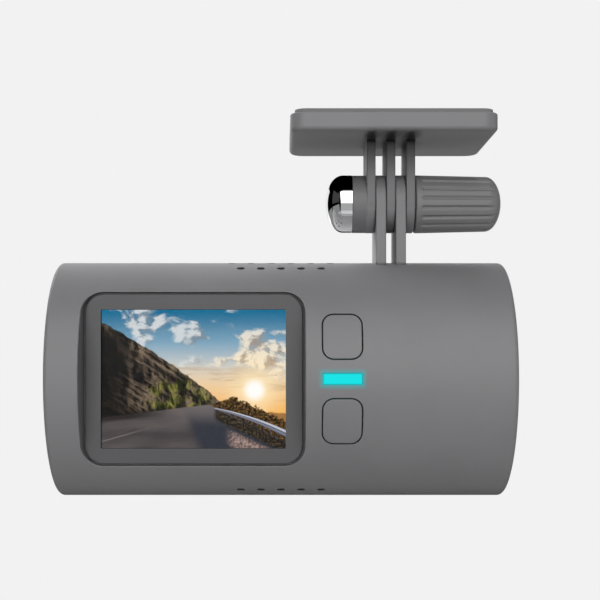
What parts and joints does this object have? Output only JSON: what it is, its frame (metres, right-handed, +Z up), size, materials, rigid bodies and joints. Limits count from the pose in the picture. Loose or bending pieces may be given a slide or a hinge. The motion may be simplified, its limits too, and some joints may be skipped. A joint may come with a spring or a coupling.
{
  "type": "dash camera",
  "caption": "Cylindrical dash camera with a flat display, two keys and a light bar, hung from a windscreen plate by a clamped fin hinge with a fluted knob.",
  "frame": {"origin": "centre of the adhesive pad's upper face, which sticks to the windscreen", "axes": "+Z up out of the adhesive pad, +X to the driver's right along the housing, +Y to the road ahead; the display faces -Y"},
  "size_m": [0.1014, 0.0566, 0.0863],
  "materials": {
    "housing_plastic": "fine matt grain, mid grey",
    "end_cap_plastic": "fine matt grain, mid grey",
    "plate_plastic": "fine matt grain, mid grey",
    "key_plastic": "fine matt grain, mid grey",
    "knob_plastic": "matt, fluted, mid grey",
    "pad_foam": "grey foam tape with adhesive on both faces",
    "cap_chrome": "polished",
    "bolt_steel": "zinc plated",
    "screw_steel": "dark zinc plated",
    "sheet_steel": "pressed sheet",
    "socket_steel": "nickel plated",
    "washer_black": "black nylon",
    "insert_brass": "turned",
    "window_glass": "smooth cover glass",
    "gasket_black": "black foam frame",
    "lcd_picture": "lit colour picture",
    "backlight_white": "white diffuser tray",
    "connector_cream": "moulded",
    "flex_copper": "polyimide flex circuit",
    "board_green": "solder mask",
    "chip_black": "epoxy package",
    "thermal_grey": "soft thermal pad",
    "heat_sink_aluminium": "anodised",
    "capacitor_sleeve": "shrink sleeve",
    "microphone_can": "gold plated can",
    "card_black": "moulded card",
    "speaker_black": "frame and magnet",
    "nose_black": "satin black",
    "inner_plastic": "glass-filled plastic",
    "barrel_black": "black anodised",
    "ring_black": "black anodised, fine turned rings",
    "lens_glass": "coated lens",
    "filter_glass": "coated filter",
    "sensor_chip": "sensor under its cover glass",
    "led_cyan": "small light-emitting diodes",
    "light_cyan": "translucent light guide, lit cyan",
    "plunger_white": "moulded"
  },
  "bodies": {
    "mount": {"mount_plate": "plate_plastic", "adhesive_pad": "pad_foam", "hinge_bolt": "bolt_steel", "bolt_cap": "cap_chrome"},
    "washer": {"clamp_washer": "washer_black"},
    "knob": {"clamp_knob": "knob_plastic", "knob_insert": "insert_brass"},
    "camera": {"housing": "housing_plastic", "left_end_cap": "end_cap_plastic", "right_end_cap": "end_cap_plastic", "end_cap_screws": "screw_steel", "chassis": "inner_plastic", "display_window": "window_glass", "display_gasket": "gasket_black", "lcd_panel": "lcd_picture", "backlight": "backlight_white", "display_retainer": "sheet_steel", "display_screws": "screw_steel", "display_connector": "connector_cream", "display_cable": "flex_copper", "main_board": "board_green", "board_screws": "screw_steel", "processor": "chip_black", "thermal_pad": "thermal_grey", "heat_sink": "heat_sink_aluminium", "ram_chip": "chip_black", "flash_chip": "chip_black", "shield_can": "sheet_steel", "supercapacitors": "capacitor_sleeve", "microphone": "microphone_can", "usb_socket": "socket_steel", "card_socket": "sheet_steel", "speaker": "speaker_black", "lens_nose": "nose_black", "nose_screws": "screw_steel", "lens_holder": "inner_plastic", "lens_barrel": "barrel_black", "lens_ring": "ring_black", "front_lens": "lens_glass", "middle_lens": "lens_glass", "rear_lens": "lens_glass", "infrared_filter": "filter_glass", "image_sensor": "sensor_chip", "sensor_board": "board_green", "sensor_screws": "screw_steel", "sensor_cable": "flex_copper", "key_board": "board_green", "key_board_screws": "screw_steel", "key_switches": "chip_black", "status_leds": "led_cyan", "light_guide": "light_cyan", "key_cable": "flex_copper"},
    "upper_key": {"upper_button": "key_plastic", "upper_plunger": "plunger_white"},
    "lower_key": {"lower_button": "key_plastic", "lower_plunger": "plunger_white"},
    "card": {"memory_card": "card_black"}
  },
  "joints": [
    {"name": "tilt", "type": "hinge", "parent": "mount", "child": "camera", "pos_m": [0, 0, -0.019], "axis": [1, 0, 0], "range_deg": [-75, 75]},
    {"name": "washer_slide", "type": "slide", "parent": "mount", "child": "washer", "axis": [1, 0, 0], "range_m": [0, 0.0014]},
    {"name": "knob_turn", "type": "hinge", "parent": "washer", "child": "knob", "pos_m": [0.012, 0, -0.019], "axis": [1, 0, 0], "range_deg": [0, 720]},
    {"name": "upper_key_press", "type": "slide", "parent": "camera", "child": "upper_key", "axis": [0, 1, 0], "range_m": [0, 0.0004], "stiffness_N_per_m": 3000},
    {"name": "lower_key_press", "type": "slide", "parent": "camera", "child": "lower_key", "axis": [0, 1, 0], "range_m": [0, 0.0004], "stiffness_N_per_m": 3000},
    {"name": "card_slide", "type": "slide", "parent": "camera", "child": "card", "axis": [-1, 0, 0], "range_m": [0, 0.016]}
  ],
  "couplings": [
    {"joint": "knob_turn", "follows": "washer_slide", "rad_per_m": 8975.9}
  ]
}
